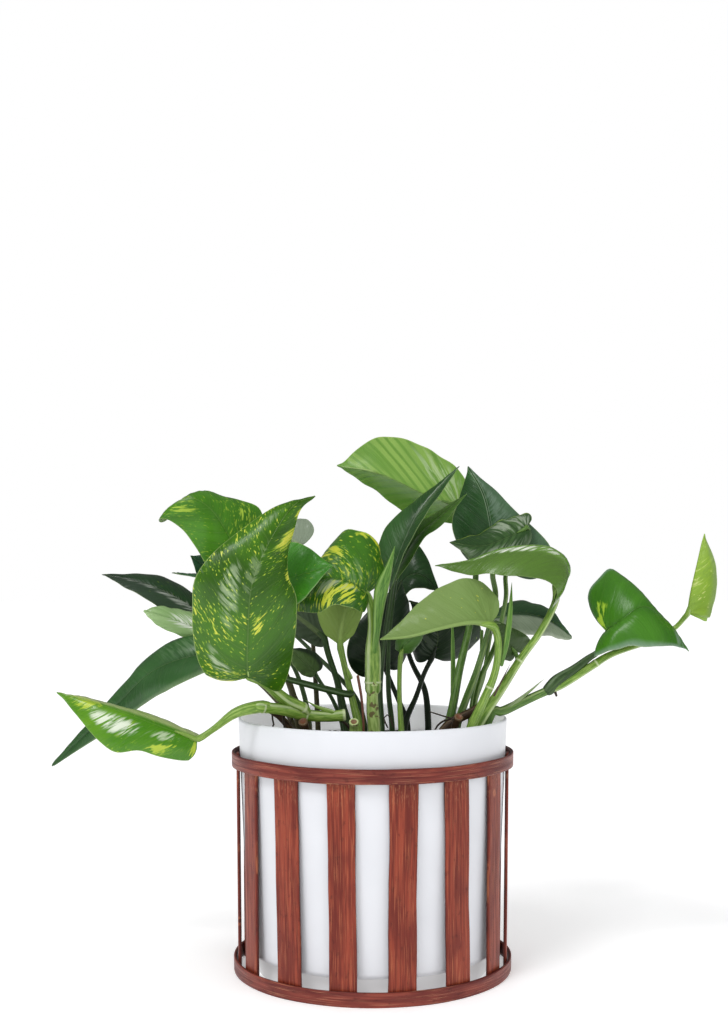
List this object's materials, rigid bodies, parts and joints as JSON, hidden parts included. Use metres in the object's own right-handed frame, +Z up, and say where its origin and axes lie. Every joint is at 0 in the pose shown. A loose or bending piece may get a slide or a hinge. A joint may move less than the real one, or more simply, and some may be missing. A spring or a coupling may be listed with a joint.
{
  "type": "potted pothos plant",
  "caption": "Variegated pothos with heart-shaped leaves on arching petioles and short vines, in a plain white pot that stands in an open holder of upright bamboo slats between two hoops.",
  "frame": {"origin": "on the surface that the holder stands on, under the centre of the pot", "axes": "+Z up, -Y towards the viewer of the picture, +X to the viewer's right"},
  "size_m": [0.383, 0.1584, 0.3033],
  "materials": {
    "bamboo": "reddish-brown stain, satin, grain lengthwise",
    "pot": "smooth white, satin",
    "soil": "moist potting mix, crumbly",
    "leaf": "waxy and glossy, dark green with yellow marbling",
    "stem": "light green, satin",
    "old_stem": "dry brown bark, rough"
  },
  "bodies": {
    "root": {"cut_stub": "stem", "hoop_bottom": "bamboo", "hoop_top": "bamboo", "leaf_back_dark": "leaf", "leaf_back_round": "leaf", "leaf_centre_left": "leaf", "leaf_centre_marbled": "leaf", "leaf_centre_olive": "leaf", "leaf_centre_small": "leaf", "leaf_front_glossy": "leaf", "leaf_front_marbled": "leaf", "leaf_left_behind_edge": "leaf", "leaf_left_behind_lobe": "leaf", "leaf_left_behind_tip": "leaf", "leaf_left_drooping": "leaf", "leaf_left_narrow": "leaf", "leaf_left_olive": "leaf", "leaf_left_shaded": "leaf", "leaf_left_small": "leaf", "leaf_left_top": "leaf", "leaf_middle_dark": "leaf", "leaf_right_arching": "leaf", "leaf_right_back": "leaf", "leaf_right_dark": "leaf", "leaf_right_folded": "leaf", "leaf_right_low": "leaf", "leaf_right_pale": "leaf", "leaf_runner_end": "leaf", "leaf_runner_heart": "leaf", "leaf_spear_dark": "leaf", "leaf_spear_light": "leaf", "leaf_top_light": "leaf", "old_stem_left": "old_stem", "old_stem_right": "old_stem", "pot": "pot", "slat_01": "bamboo", "slat_02": "bamboo", "slat_03": "bamboo", "slat_04": "bamboo", "slat_05": "bamboo", "slat_06": "bamboo", "slat_07": "bamboo", "slat_08": "bamboo", "slat_09": "bamboo", "slat_10": "bamboo", "slat_11": "bamboo", "slat_12": "bamboo", "slat_13": "bamboo", "slat_14": "bamboo", "slat_15": "bamboo", "soil": "soil", "spike_back": "stem", "spike_centre": "stem", "spike_right": "stem", "stem_centre": "stem", "vine_left": "stem", "vine_right": "stem"}
  },
  "joints": []
}
